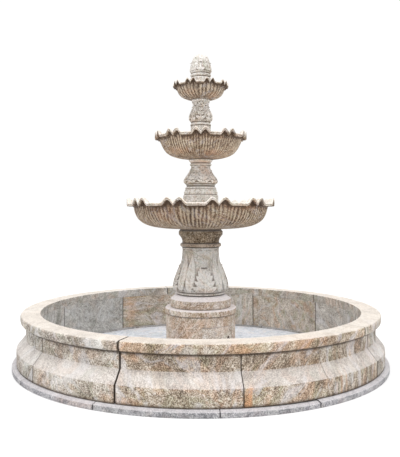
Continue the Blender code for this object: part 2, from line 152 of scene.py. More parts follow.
def gridPiece(name, points, finish, body="root", node=None, tags=None, wholeTurn=True):
    # points[row, column] is a closed loop of columns carried through rows. On a whole turn the
    # last row joins the first; otherwise each end row is closed by a fan to its middle.
    rows, columns = points.shape[:2]
    index = np.arange(rows * columns).reshape(rows, columns)
    ahead = np.roll(index, -1, axis=0)
    if not wholeTurn:
        ahead = ahead[:-1]
        index = index[:-1]
    quads = np.stack([index, ahead, np.roll(ahead, -1, axis=1), np.roll(index, -1, axis=1)], axis=-1)
    quads = quads.reshape(-1, 4)
    places = points.reshape(-1, 3)
    fans = np.empty((0, 3), int)
    if not wholeTurn:
        first = np.arange(columns)
        last = first + (rows - 1) * columns
        hub = rows * columns
        places = np.vstack([places, points[0].mean(axis=0), points[-1].mean(axis=0)])
        fans = np.vstack([
            np.stack([np.full(columns, hub), first, np.roll(first, -1)], axis=1),
            np.stack([np.full(columns, hub + 1), np.roll(last, -1), last], axis=1)])
    corners = places[quads]
    wedge = np.cross(corners[:, 1] - corners[:, 0], corners[:, 2] - corners[:, 0])
    wedge += np.cross(corners[:, 2] - corners[:, 0], corners[:, 3] - corners[:, 0])
    if (wedge * corners.mean(axis=1)).sum() < 0:         # turned inside out, so turn it back
        quads = quads[:, ::-1]
        fans = fans[:, ::-1]
    mesh = bpy.data.meshes.new(name)
    mesh.vertices.add(len(places))
    mesh.vertices.foreach_set("co", places.astype(np.float32).ravel())
    loops = np.concatenate([quads.ravel(), fans.ravel()])
    mesh.loops.add(len(loops))
    mesh.loops.foreach_set("vertex_index", loops)
    starts = np.concatenate([np.arange(len(quads)) * 4, len(quads) * 4 + np.arange(len(fans)) * 3])
    mesh.polygons.add(len(starts))
    mesh.polygons.foreach_set("loop_start", starts)
    mesh.update(calc_edges=True)
    mesh.shade_smooth()
    for tag, values in (tags or {}).items():
        values = np.broadcast_to(values, (rows, columns)).ravel()
        if not wholeTurn:
            values = np.concatenate([values, [values[0], values[-1]]])
        layer = mesh.attributes.new(tag, "FLOAT", "POINT")
        layer.data.foreach_set("value", values.astype(np.float32))
    mesh.materials.append(finish)
    piece = bpy.data.objects.new(name, mesh)
    bpy.context.scene.collection.objects.link(piece)
    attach(piece, body)
    if node:
        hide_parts(node)
    return piece


def evenTags(shape, shift=0.0, grey=0.0, relief=0.6, rust=0.0, pale=0.0):
    # The finish tags of a piece, each one value all over or a whole array
    flat = np.zeros(shape)
    return {"shift": flat + shift, "grey": flat + grey, "relief": flat + relief, "rust": flat + rust,
            "pale": flat + pale}


# Finishes


class Graph:
    # A short way to write a material's nodes: g.add("Math", (a, b), operation="ADD")
    def __init__(self, name):
        self.material = bpy.data.materials.new(name)
        self.material.use_nodes = True
        self.tree = self.material.node_tree
        self.shader = self.tree.nodes["Principled BSDF"]

    def add(self, kind, inputs=(), output=0, **settings):
        node = self.tree.nodes.new("ShaderNode" + kind)
        for key, value in settings.items():
            setattr(node, key, value)
        pairs = inputs.items() if isinstance(inputs, dict) else enumerate(inputs)
        for key, value in pairs:
            self.join(value, node.inputs[key])
        return node.outputs[output]

    def join(self, value, socket):
        if isinstance(value, bpy.types.NodeSocket):
            self.tree.links.new(value, socket)
        elif value is not None:
            socket.default_value = value

    def math(self, operation, a, b=0.0, clamp=False):
        return self.add("Math", (a, b), operation=operation, use_clamp=clamp)

    def times(self, a, b):
        return self.math("MULTIPLY", a, b)

    def plus(self, a, b, clamp=False):
        return self.math("ADD", a, b, clamp)

    def ramp(self, value, low, high, start=0.0, end=1.0):
        names = {"Value": value, "From Min": low, "From Max": high, "To Min": start, "To Max": end}
        return self.add("MapRange", names, interpolation_type="SMOOTHSTEP")

    def mix(self, amount, a, b, blend="MIX"):
        node = self.tree.nodes.new("ShaderNodeMix")
        node.data_type = "RGBA"
        node.blend_type = blend
        self.join(amount, node.inputs[0])
        self.join(a, node.inputs[6])
        self.join(b, node.inputs[7])
        return node.outputs[2]

    def noise(self, place, scale, detail=4.0, rough=0.55, twist=0.0):
        names = {"Vector": place, "Scale": scale, "Detail": detail, "Roughness": rough, "Distortion": twist}
        return self.add("TexNoise", names)

    def tones(self, value, stops):
        # A colour ramp through stops of (position, colour as seen on screen)
        node = self.tree.nodes.new("ShaderNodeValToRGB")
        points = node.color_ramp.elements
        stops = list(stops)
        while len(points) < len(stops):
            points.new(0.5)
        for point, (position, colour) in zip(points, stops):
            point.position = position
            point.color = rgb(*colour)
        self.join(value, node.inputs[0])
        return node.outputs[0]

    def tag(self, name):
        return self.add("Attribute", output=2, attribute_name=name)


def rgb(red, green, blue):
    # A colour given as it looks on screen, 0 to 255, turned into the linear values nodes use
    shown = np.array([red, green, blue]) / 255.0
    linear = np.where(shown <= 0.04045, shown / 12.92, ((shown + 0.055) / 1.055) ** 2.4)
    return (*linear.tolist(), 1.0)


def granite(name, changes):
    # Crystals of five mineral tones, sorted into flowing veins and clouds, with thin dark lines,
    # dark flecks drawn out along the veins, strata of warm, green and lilac tints, rust patches,
    # pale dust mixed with painted top light on upper faces, and bump. The mesh carries the tags it reads:
    # shift moves and turns the pattern from stone to stone, grey and rust colour a stone or a patch of it,
    # pale is a rubbed or bleached face, and relief is 0 in a groove, 0.6 on plain ground and 1 on a ridge.
    # Low relief takes the groove colour, for dark joints and painted shade, and high relief the
    # ridge colour, a painted highlight.
    look = {**plainGranite, **changes}
    g = Graph(name)
    shift = g.tag("shift")
    scaled = [g.times(shift, factor) for factor in (3.7, 1.9, 1.3, 2.1)]
    offset = g.add("CombineXYZ", (scaled[0], shift, scaled[1]))
    place = g.add("VectorMath", (g.add("TexCoord", output=3), offset))
    lean = g.add("CombineXYZ", (scaled[2], scaled[3], shift))
    bed = g.add("VectorRotate", {"Vector": place, "Rotation": lean}, rotation_type="EULER_XYZ")
    bed = g.add("Mapping", {"Vector": bed, "Scale": (0.30, 1.0, 1.0)})
    clouds = g.ramp(g.noise(place, 5.0, 4.0, 0.6, 0.5), 0.34, 0.66)
    veins = g.ramp(g.noise(bed, look["veinScale"], 5.0, 0.62, 1.4), 0.34, 0.66)
    crystals = g.ramp(g.noise(place, look["crystalScale"], 2.0, 0.75), 0.34, 0.66)
    grains = g.add("TexVoronoi", {"Vector": place, "Scale": look["grainScale"]}, output=1)
    grains = g.add("SeparateColor", (grains,), output=0)
    tone = g.plus(g.times(clouds, 0.16), g.times(veins, look["veinShare"]))
    tone = g.plus(tone, g.times(crystals, 0.76 - look["veinShare"] - look["grainShare"]))
    tone = g.plus(tone, g.times(grains, look["grainShare"]))
    colour = g.tones(tone, zip((0.16, 0.33, 0.46, 0.59, 0.76), look["tones"]))
    colour = g.mix(g.tag("pale"), colour, g.tones(tone, zip((0.14, 0.42, 0.80), look["paleTones"])))
    strata = {"Vector": bed, "Scale": look["strataScale"], "Detail": 4.0, "Roughness": 0.6, "Distortion": 1.6}
    tints = g.add("TexNoise", strata, output=1)
    tints = g.add("SeparateColor", (tints,)).node.outputs
    for tint, shade in zip(tints, (rgb(255, 236, 222), rgb(232, 238, 226))):
        colour = g.mix(g.ramp(tint, 0.50, 0.60, 0.0, look["tintShare"]), colour, shade, "MULTIPLY")
    lilac = g.ramp(tints[2], 0.52, 0.64, 0.0, look["tintShare"] * 0.5)
    colour = g.mix(lilac, colour, rgb(222, 219, 224))
    streaks = g.noise(bed, look["veinScale"] * 0.45, 5.0, 0.55, 2.2)
    distance = g.math("ABSOLUTE", g.math("SUBTRACT", streaks, 0.5))
    colour = g.mix(g.ramp(distance, 0.0, 0.018, look["lineShare"], 0.0), colour, rgb(*look["tones"][0]))
    flecks = g.ramp(g.noise(bed, look["fleckScale"], 2.0, 0.6), 0.58, 0.66, 0.0, look["fleckShare"])
    colour = g.mix(flecks, colour, rgb(*look["tones"][0]))
    hue = g.tree.nodes.new("ShaderNodeHueSaturation")
    g.join(g.ramp(g.tag("grey"), 0.0, 1.0, 1.0, 1.0 - look["greyShare"]), hue.inputs["Saturation"])
    g.join(colour, hue.inputs["Color"])
    colour = g.mix(g.times(g.tag("grey"), 0.5), hue.outputs[0], rgb(240, 244, 242), "MULTIPLY")
    patches = g.ramp(g.noise(place, 4.2, 5.0, 0.65, 1.0), 0.54, 0.72, 0.0, look["rustShare"])
    rust = g.plus(patches, g.times(g.tag("rust"), g.ramp(veins, 0.0, 0.7, 0.55, 1.0)), True)
    rust = g.times(rust, g.ramp(tone, 0.25, 0.55, 0.35, 0.9))
    colour = g.mix(rust, colour, g.mix(crystals, rgb(*look["rust"]), rgb(*look["rustLight"])))
    # Painted shade and dark joints: low relief (joints, hollows, undersides, flutes) is darkened towards the
    # groove colour. Painted highlight: high relief (ridges, rib crests, raised leaves) is paled towards the
    # ridge colour.
    groove = g.ramp(g.tag("relief"), 0.10, 0.58, look["grooveShare"], 0.0)
    colour = g.mix(groove, colour, rgb(*look["groove"]))
    ridge = g.ramp(g.tag("relief"), 0.62, 0.95, 0.0, look["ridgeShare"])
    colour = g.mix(g.times(ridge, g.ramp(tone, 0.2, 0.5, 0.4, 1.0)), colour, rgb(*look["ridge"]))
    # Pale dust mixed with painted top light: faces are paled by how far their normal points up
    facing = g.add("SeparateXYZ", (g.add("NewGeometry", output=1),), output=2)
    upward = g.ramp(facing, look["dustAndTopLightFrom"], look["dustAndTopLightTo"])
    dustAndTopLight = g.times(upward, g.ramp(tone, 0.2, 0.6, 0.7, 1.0))
    colour = g.mix(g.times(dustAndTopLight, look["dustAndTopLightShare"]), colour, rgb(*look["dustAndTopLight"]))
    g.join(colour, g.shader.inputs["Base Color"])
    g.join(g.ramp(tone, 0.2, 0.7, look["rough"] + 0.08, look["rough"] - 0.08), g.shader.inputs["Roughness"])
    g.shader.inputs["Specular IOR Level"].default_value = 0.35
    fine = g.noise(place, look["crystalScale"] * 2.4, 4.0, 0.65)
    height = g.plus(g.times(crystals, 0.5), fine)
    bump = g.add("Bump", {"Strength": 0.6, "Distance": look["bump"], "Height": height})
    g.join(bump, g.shader.inputs["Normal"])
    return g.material


plainGranite = {
    "tones": ((80, 64, 51), (131, 112, 91), (173, 153, 131), (203, 188, 169), (234, 226, 213)),
    "paleTones": ((168, 158, 146), (208, 201, 192), (234, 230, 225)),
    "veinScale": 20.0, "crystalScale": 125.0, "grainScale": 230.0, "fleckScale": 120.0, "strataScale": 6.0,
    "veinShare": 0.18, "grainShare": 0.20, "lineShare": 0.45, "fleckShare": 0.55, "tintShare": 0.9,
    "greyShare": 0.70, "rustShare": 0.10, "rust": (190, 134, 90), "rustLight": (214, 166, 126),
    "groove": (58, 46, 36), "grooveShare": 0.85, "ridge": (216, 202, 182), "ridgeShare": 0.0,
    "dustAndTopLight": (214, 208, 205), "dustAndTopLightShare": 0.55, "dustAndTopLightFrom": 0.15, "dustAndTopLightTo": 0.70,
    "rough": 0.72, "bump": 0.0010,
}
wallGranite = granite("wall granite", {})
copingGranite = granite("coping granite", {
    "dustAndTopLight": (214, 206, 197), "dustAndTopLightShare": 0.8, "dustAndTopLightFrom": 0.45, "dustAndTopLightTo": 1.0})
kerbGranite = granite("kerb granite", {
    "rustShare": 0.0, "dustAndTopLight": (198, 194, 196), "dustAndTopLightShare": 0.7, "tintShare": 0.3,
    "groove": (52, 49, 51),
    "tones": ((98, 97, 103), (132, 130, 136), (158, 156, 161), (182, 179, 182), (212, 209, 210))})
floorGranite = granite("floor granite", {
    "rustShare": 0.0, "dustAndTopLightShare": 0.0, "veinShare": 0.4, "grainShare": 0.06,
    "tintShare": 0.3, "lineShare": 0.15, "fleckShare": 0.15,
    "tones": ((174, 179, 188), (190, 194, 202), (200, 204, 210), (210, 212, 217), (222, 223, 227))})
plinthGranite = granite("plinth granite", {
    "dustAndTopLight": (232, 225, 226), "dustAndTopLightShare": 0.75, "grooveShare": 0.8, "lineShare": 0.5,
    "fleckShare": 0.75, "rustShare": 0.05, "strataScale": 14.0, "tintShare": 0.5, "crystalScale": 105.0,
    "paleTones": ((226, 219, 218), (243, 239, 241), (250, 248, 250)),
    "tones": ((128, 104, 84), (178, 156, 136), (210, 193, 176), (230, 218, 206), (245, 239, 232))})
carvedGranite = granite("carved granite", {
    "rustShare": 0.10, "grooveShare": 0.80, "groove": (98, 84, 70), "ridgeShare": 0.45,
    "ridge": (240, 235, 228), "dustAndTopLight": (226, 221, 217), "bump": 0.0016, "fleckShare": 0.45, "tintShare": 0.8,
    "strataScale": 20.0, "crystalScale": 130.0, "veinScale": 30.0,
    "paleTones": ((196, 190, 184), (226, 222, 218), (245, 243, 241)),
    "tones": ((124, 110, 96), (176, 164, 150), (212, 203, 193), (232, 226, 220), (247, 244, 241))})
capitalGranite = granite("capital granite", {
    "rustShare": 0.2, "rust": (140, 98, 66), "rustLight": (176, 134, 100), "dustAndTopLightShare": 0.3,
    "grooveShare": 0.9, "groove": (38, 29, 21), "lineShare": 0.7, "fleckShare": 0.8, "tintShare": 0.2,
    "paleTones": ((140, 120, 102), (184, 165, 147), (214, 200, 186)),
    "tones": ((42, 31, 21), (88, 71, 52), (130, 111, 89), (162, 146, 123), (206, 192, 172))})
bowlGranite = granite("bowl granite", {
    "rustShare": 0.30, "rust": (160, 108, 74), "rustLight": (190, 144, 108),
    "grooveShare": 0.85, "groove": (76, 58, 44), "ridgeShare": 0.70, "ridge": (208, 190, 166),
    "dustAndTopLight": (232, 226, 219), "dustAndTopLightShare": 0.7, "bump": 0.0018, "tintShare": 0.6, "lineShare": 0.6,
    "fleckShare": 0.80, "strataScale": 16.0, "crystalScale": 110.0,
    "paleTones": ((196, 180, 163), (232, 224, 213), (250, 247, 242)),
    "tones": ((68, 48, 35), (110, 86, 67), (146, 122, 99), (178, 157, 134), (216, 201, 181))})


def moulded(name, colour, roughness, metallic=0.0, grain=900.0):
    # Moulded or cast stuff: a fine grain in the bump, and scuffs that change colour and gloss
    g = Graph(name)
    place = g.add("TexCoord", output=3)
    scuffs = g.noise(place, 38.0, 6.0, 0.7, 0.6)
    pale = tuple(min(255, part * 1.25 + 18) for part in colour)
    mix = g.mix(g.ramp(scuffs, 0.52, 0.72, 0.0, 0.55), rgb(*colour), rgb(*pale))
    g.join(mix, g.shader.inputs["Base Color"])
    g.join(g.ramp(scuffs, 0.3, 0.7, roughness - 0.08, roughness + 0.14), g.shader.inputs["Roughness"])
    g.shader.inputs["Metallic"].default_value = metallic
    fine = g.noise(place, grain, 3.0, 0.6)
    bump = g.add("Bump", {"Strength": 0.35, "Distance": 0.0004, "Height": fine})
    g.join(bump, g.shader.inputs["Normal"])
    return g.material


blackPlastic = moulded("black plastic", (34, 35, 38), 0.50)
whitePipe = moulded("white pipe plastic", (214, 213, 207), 0.42)
redPlastic = moulded("red lever plastic", (172, 38, 32), 0.45)
blackRubber = moulded("black rubber", (30, 30, 31), 0.80)
castBrass = moulded("cast brass", (186, 148, 78), 0.32, metallic=1.0)
print("finishes made")

pipeHole = 0.022        # radius of the hole for the riser pipe through the column

# The pool surround

poolStones = {
    "inner": 1.412,            # radius of the pool's wall inside
    "lowerBand": 1.611,        # radius of the wall's lower upright band
    "upperBand": 1.534,        # radius of its upper upright band
    "slope": (0.176, 0.270),   # heights between which the wall slopes
    "nose": 1.578,             # radius of the coping's rounded nose
    "arris": 0.004,            # rounding of the stones' sharp edges
    "floorHole": 0.030,        # radius of the hole in the middle of the floor
    "floorEdge": 1.408,
    "wear": 0.0009,            # how uneven the faces and edges are
    "facet": 0.5,              # degrees between the facets along an arc
    "gap": 0.003,              # a closed joint
    "openGap": 0.010,          # the joint in front that has opened
    "openAngle": -20.6,
    "kerbJoints": np.linspace(29.5, 364.3, 12),        # degrees from the front
    "wallJoints": (10.0, 33.0, 57.5, 90.0, 122.4, 155.3, 186.3, 217.2, 251.9, 280.4, 308.8, 339.1),
    "copingJoints": np.linspace(-20.6, 267.4, 5),
    "tightJoint": 33.0,        # a joint so well closed that no dirt shows
    "sunkStone": 11,           # this kerb stone has sunk at its right end, by sunkDepth
    "sunkDepth": 0.006,
    "grimeAndShade": 0.004,            # how far dirt reaches from a joint
    "washed": 0.45,            # how bleached the wall is inside, where the water stands
}


def gridAngles(start, end, arris, radius, facet):
    # Angles from one end of a stone to the other, crowded in the rounded arris at each end
    edge = math.degrees(arris / radius)
    ease = 1.0 - np.cos(np.linspace(0.0, math.pi / 2, 4))
    middle = np.linspace(start + edge, end - edge, max(int((end - start) / facet), 4))
    return np.concatenate([start + edge * ease[:-1], middle, end - edge * ease[:-1][::-1]])


def arcStone(name, outline, finish, start, end, tagsAt, body="root", seed=1, sunk=0.0):
    # The outline carried from start to end degrees; within the arris of each end it draws in
    # along its own normals by a quarter circle, so that the stone's end edges are rounded. The
    # faces sink a little more or less by soft noise along the arc and round the outline. A sunk
    # stone's upper half leans down towards its end.
    radius = outline[:, 0].max()
    arris = poolStones["arris"]
    angles = gridAngles(start, end, arris, radius, poolStones["facet"] * max(1.4 / radius, 1.0))
    depth = np.minimum(angles - start, end - angles) * math.radians(radius) / arris
    drawIn = arris * (1.0 - np.sqrt(np.clip(1.0 - (1.0 - np.clip(depth, 0.0, 1.0)) ** 2, 0.0, 1.0)))
    step = np.linalg.norm(outline - np.roll(outline, 1, axis=0), axis=1)
    along = np.cumsum(step)[None]
    arc = np.radians(angles)[:, None] * radius
    broad = softNoise(arc / 0.05, along / 0.05, seed)
    narrow = softNoise(arc / 0.02, along / 0.02, seed + 7)
    uneven = 0.5 + 0.3 * broad + 0.2 * narrow
    sink = drawIn[:, None] + poolStones["wear"] * uneven
    section = outline[None] - outward(outline)[None] * sink[..., None]
    upper = outline[None, :, 1] > outline[:, 1].mean()
    heights = section[..., 1] - sunk * upper * ((angles - start) / (end - start))[:, None]
    points = polar(section[..., 0], angles[:, None], heights)
    tags = tagsAt(angles[:, None], heights, section[..., 0])
    return gridPiece(name, points, finish, body, name, tags, wholeTurn=False)


def jointTrim(angle, radius):
    opened = abs((angle - poolStones["openAngle"] + 180) % 360 - 180) < 1.0
    return math.degrees((poolStones["openGap"] if opened else poolStones["gap"]) / 2 / radius)


def patchesAt(angles, heights, patches, seed):
    # The strongest of the patches at each place. A patch is (angle, height, half width in
    # degrees, half height, strength), with an edge wandered by noise.
    shape = np.broadcast_shapes(angles.shape, heights.shape)
    wander = 0.35 * softNoise(angles / 1.1, heights / 0.03, seed)
    wander = wander + 0.25 * softNoise(angles / 0.45, heights / 0.012, seed)
    strongest = np.zeros(shape)
    for angle, height, wide, tall, strength in patches:
        away = np.abs((angles - angle + 180) % 360 - 180) / wide
        inside = smoothStep(1.4, 0.7, np.hypot(away, (heights - height) / tall) + wander)
        strongest = np.maximum(strongest, strength * inside)
    return strongest


def stoneEnds(joints):
    # Both ends of each stone between a ring's joints; the last stone closes the ring
    return list(zip(joints, [*joints[1:], joints[0] + 360.0]))


def stoneRing(stem, outline, finish, joints, greys, rustPatches=(), palePatches=(), shadedBeds=(), sunk=None):
    # The stones of one ring. greys lists how grey each one is, and the beds list the heights of
    # painted shade outside, with joint dirt: under the coping and at the wall's foot. Dirt also darkens each
    # end of a stone.
    radius = outline[:, 0].max()
    for index, (left, right) in enumerate(stoneEnds(joints)):
        start, end = left + jointTrim(left, radius), right - jointTrim(right, radius)

        def tagsAt(angles, heights, radii, shade=greys[index], seed=index, start=start, end=end):
            rust = patchesAt(angles, heights, rustPatches, seed + 3)
            outside = radii > poolStones["inner"] + 0.02
            edge = np.minimum(angles - start, end - angles)
            tight = np.abs(angles - poolStones["tightJoint"]) < 1.0
            relief = 0.6 - 0.5 * ~tight * np.exp(-(edge * math.radians(radius) / poolStones["grimeAndShade"]) ** 2)
            # Painted shade, with joint dirt, along the beds: under the coping's overhang and at the wall's
            # foot
            for bed, reach in shadedBeds:
                relief = relief - 0.6 * outside * np.exp(-((heights - bed) / reach) ** 2)
            pale = patchesAt(angles, heights, palePatches, seed + 5)
            pale = np.maximum(pale, poolStones["washed"] * ~outside)
            relief = np.clip(relief, 0.0, 1.0)
            return evenTags(heights.shape, seed + 0.37, shade, relief, rust, pale)

        arcStone(f"{stem}_{index + 1:02d}", outline, finish, start, end, tagsAt, seed=index,
                 sunk=poolStones["sunkDepth"] if index == sunk else 0.0)


def poolRing():
    inner, lower, upper = poolStones["inner"], poolStones["lowerBand"], poolStones["upperBand"]
    slopeLow, slopeHigh = poolStones["slope"]
    nose = poolStones["nose"]
    kerbTop = span("kerb_stone_01")[1]
    kerbEdge = min(-cadBox[0][0], cadBox[1][0], -cadBox[0][1], cadBox[1][1])      # its least half width
    wallLow, wallHigh = span("wall_stone_01")
    copingLow, copingHigh = span("coping_stone_01")
    kerb = roundCorners([
        (inner, 0.0, 0.003), (kerbEdge, 0.0, 0.003), (kerbEdge, kerbTop - 0.012, 0.004),
        (kerbEdge - 0.007, kerbTop - 0.005, 0.002), (kerbEdge - 0.018, kerbTop - 0.005, 0.002),
        (kerbEdge - 0.023, kerbTop, 0.003), (inner, kerbTop, 0.003)])
    stoneRing("kerb_stone", supported(kerb, 0.05), kerbGranite,
              poolStones["kerbJoints"], (0.3, 0.7, 0.5, 0.4, 0.8, 0.3, 0.6, 0.7, 0.4, 0.3, 0.5, 0.3),
              ((-32.0, 0.03, 5.0, 0.03, 0.2),), sunk=poolStones["sunkStone"])
    wall = roundCorners([
        (inner, wallLow, 0.004), (lower, wallLow, 0.003), (lower, slopeLow, 0.004),
        (upper, slopeHigh, 0.004), (upper, wallHigh, 0.003), (inner, wallHigh, 0.004)])
    stoneRing("wall_stone", supported(wall, 0.02), wallGranite,
              poolStones["wallJoints"], (0.25, 0.35, 0.6, 0.5, 0.15, 0.3, 0.05, 0.9, 0.75, 0.65, 0.5, 0.3),
              ((11.0, 0.09, 1.0, 0.10, 1.0), (-17.5, 0.07, 3.0, 0.03, 0.4), (-18.0, 0.35, 3.0, 0.03, 0.35),
               (-22.5, 0.07, 2.5, 0.04, 0.3), (24.5, 0.34, 1.2, 0.06, 0.3), (-4.0, 0.37, 3.0, 0.02, 0.35),
               (38.0, 0.11, 0.5, 0.08, 0.4), (40.0, 0.11, 0.4, 0.08, 0.4), (36.2, 0.11, 0.3, 0.08, 0.3),
               (213.0, 0.25, 2.0, 0.25, 0.35), (-47.0, 0.09, 1.5, 0.08, 0.2), (-30.0, 0.34, 3.0, 0.03, 0.2)),
              ((-38.0, 0.20, 2.5, 0.08, 0.8), (-33.0, 0.23, 5.0, 0.03, 0.6), (-8.0, 0.22, 9.0, 0.02, 0.5),
               (24.0, 0.22, 8.0, 0.04, 0.5), (25.5, 0.33, 0.7, 0.06, 0.6), (37.2, 0.12, 0.3, 0.05, 0.8),
               (39.0, 0.12, 0.3, 0.05, 0.8)),
              ((wallHigh, 0.012), (wallLow, 0.008)))
    coping = roundCorners([
        (inner, copingLow, 0.003), (nose, copingLow, 0.034), (nose, copingHigh, 0.022),
        (inner, copingHigh, 0.006)], steps=7)
    stoneRing("coping_stone", supported(coping, 0.02), copingGranite,
              poolStones["copingJoints"], (0.15, 0.45, 0.4, 0.6, 0.6),
              ((-17.0, 0.42, 4.0, 0.04, 0.3), (9.0, 0.42, 2.5, 0.04, 0.45), (26.0, 0.43, 2.4, 0.05, 0.45),
               (21.0, 0.42, 1.6, 0.05, 0.3), (14.0, 0.42, 2.0, 0.05, 0.2)),
              ((-27.0, 0.43, 3.0, 0.05, 0.7), (-3.0, 0.41, 2.0, 0.03, 0.6), (1.5, 0.42, 1.2, 0.03, 0.5)),
              ((copingLow, 0.008),))
    print("pool surround made")


def poolFloor():
    # Four quarter slabs with eased edges round a small hole for the drain and the pump's cable
    top = span("floor_slab_1")[1]
    hole, edge = poolStones["floorHole"], poolStones["floorEdge"]
    outline = roundCorners([(hole, 0.0, 0.002), (edge, 0.0, 0.002), (edge, top, 0.003), (hole, top, 0.003)])
    outline = supported(outline, 0.08)
    halfJoint = math.degrees(poolStones["gap"] / 2 / edge)
    for index in range(4):
        def tagsAt(angles, heights, radii, seed=index):
            return evenTags(heights.shape, shift=seed * 1.7)

        start = 45.0 + 90.0 * index + halfJoint
        arcStone(f"floor_slab_{index + 1}", outline, floorGranite,
                 start, start + 90.0 - 2 * halfJoint, tagsAt)


# Turned and carved stones of the column


def cavity(lift, reach, gain):
    # How far each place stands above its neighbourhood, as 0.6 on plain ground, less in a
    # groove and more on a ridge. The neighbourhood is the mean of places up to reach cells away.
    # It paints shade into hollows and a highlight onto rises.
    around = np.zeros(lift.shape)
    offsets = (-reach, -(reach // 2), 0, reach // 2, reach)
    for row in offsets:
        for column in offsets:
            around += np.roll(np.roll(lift, row, axis=0), column, axis=1)
    return np.clip(0.6 + gain * (lift - around / len(offsets) ** 2), 0.0, 1.0)


def turnedStone(name, outline, finish, slot, count=240, seed=1, dirtAndShade=(), rubbed=(), **tags):
    # An outline carried round, with soft wear sunk into it. The dirt list gives heights of dark joints and
    # steps, darkened by painted shade as well as dirt, and how far each reaches, and rubbed lists
    # bands (low, high, share) where the stone is bleached.
    angles = np.arange(count) * 360.0 / count
    wear = 0.0004 * (softNoise(angles[:, None] / 4.0, outline[None, :, 1] / 0.02, seed) - 1.0)
    section = outline[None] + outward(outline)[None] * wear[..., None]
    points = polar(section[..., 0], angles[:, None], section[..., 1])
    relief = np.full(section.shape[:2], 0.6)
    # Painted shade with dirt at each listed joint or step
    for height, reach in dirtAndShade:
        relief -= 0.6 * np.exp(-((section[..., 1] - height) / reach) ** 2)
    made = evenTags(points.shape[:2], relief=np.clip(relief, 0.0, 1.0), **tags)
    for low, high, share in rubbed:
        above = smoothStep(low - 0.002, low + 0.002, section[..., 1])
        below = smoothStep(high + 0.002, high - 0.002, section[..., 1])
        made["pale"] = np.maximum(made["pale"], share * (above * below))
    return gridPiece(name, points, finish, node=name, tags=made)


plinth = {
    "doorStart": 1.5, "doorEnd": 62.0, "lintel": 0.325, "arris": 0.35,       # angles in degrees
    "inside": 0.214, "outside": 0.314, "panelInside": 0.264, "panelOutside": 0.3137, "clearance": 0.0015,
    "holes": ((51.0, 0.0110), (32.0, 0.0045)), "holeHeight": 0.220,          # angle and radius of each
}


def plinthStones():
    # The drum's lower edge steps up to the doorway's lintel across each jamb's narrow arris
    bottom, top = span("plinth_drum")
    start, end, arris = plinth["doorStart"], plinth["doorEnd"], plinth["arris"]
    jambs = np.concatenate([start + np.linspace(0, arris, 3), end - np.linspace(arris, 0, 3)])
    angles = np.unique(np.concatenate([np.arange(0.0, 360.0, 1.5), jambs]))
    outline = supported(roundCorners([
        (plinth["inside"], 0.0, 0.003), (plinth["outside"], 0.0, 0.003),
        (plinth["outside"], 1.0, 0.003), (plinth["inside"], 1.0, 0.003)]), 0.04)
    lift = smoothStep(0, arris, angles - start) * smoothStep(0, arris, end - angles)
    low = (bottom + (plinth["lintel"] - bottom) * lift)[:, None]
    heights = low + (top - low) * outline[None, :, 1]
    points = polar(outline[None, :, 0], angles[:, None], heights)
    tags = evenTags(points.shape[:2], shift=0.4)
    stains = (5.0, 0.36, 12.0, 0.04, 0.25), (335.0, 0.3, 9.0, 0.1, 0.15)
    tags["rust"] = patchesAt(angles[:, None], heights, stains, 4)
    gridPiece("plinth_drum", points, plinthGranite, node="plinth_drum", tags=tags)

    foot, head = span("plinth_cap")
    cap = roundCorners([
        (pipeHole, foot, 0.002), (0.323, foot, 0.006), (0.323, head - 0.010, 0.005),
        (0.314, head, 0.004), (pipeHole, head, 0.002)])
    turnedStone("plinth_cap", supported(cap, 0.03), plinthGranite, "plinth_granite", shift=1.1,
                dirtAndShade=((foot, 0.006),), rubbed=((head - 0.010, head, 0.6),))


def accessPanel():
    low, high = span("access_panel")
    inside, outside = plinth["panelInside"], plinth["panelOutside"]
    trim = math.degrees(plinth["clearance"] / plinth["outside"])
    outline = supported(roundCorners([
        (inside, low, 0.002), (outside, low, 0.003), (outside, high, 0.003), (inside, high, 0.002)]), 0.02)

    def tagsAt(angles, heights, radii):
        rust = patchesAt(angles, heights, ((40.0, 0.3, 15.0, 0.05, 0.2),), 4)
        return evenTags(heights.shape, shift=2.3, grey=0.35, rust=rust)

    panel = arcStone("access_panel", outline, plinthGranite, plinth["doorStart"] + trim,
                     plinth["doorEnd"] - trim, tagsAt, "access_panel")
    for angle, size in plinth["holes"]:
        turn = math.radians(angle)
        bpy.ops.mesh.primitive_cylinder_add(
            vertices=48, radius=size, depth=0.12, rotation=(math.pi / 2, 0, turn),
            location=(0.29 * math.sin(turn), -0.29 * math.cos(turn), plinth["holeHeight"]))
        drill = bpy.context.object
        hole = panel.modifiers.new("finger hole", "BOOLEAN")
        hole.object = drill
        hole.operation = "DIFFERENCE"
        hole.solver = "EXACT"
        bpy.context.view_layer.objects.active = panel
        bpy.ops.object.modifier_apply(modifier=hole.name)
        bpy.data.objects.remove(drill)
    print("plinth and access panel made")


def leaflet(across, up, base, lean, length, width):
    # One lobe of a leaf, from 0 to 1 high: an almond whose foot is on the leaf's middle line at
    # base, leaning lean degrees from upright, domed across and hollowed along its vein
    turn = math.radians(lean)
    along = ((up - base) * math.cos(turn) + across * math.sin(turn)) / length
    side = np.abs(across * math.cos(turn) - (up - base) * math.sin(turn)) / width
    almond = np.maximum(np.sin(np.pi * np.clip(along, 0.0, 1.0) ** 0.75) ** 0.8, 0.02)
    dome = np.sqrt(np.clip(1.0 - (side / almond) ** 2, 0.0, 1.0))
    vein = 1.0 - 0.45 * np.exp(-(side / 0.20) ** 2)
    return np.where((along > 0.0) & (along < 1.0), dome * vein * (0.55 + 0.45 * along), 0.0)


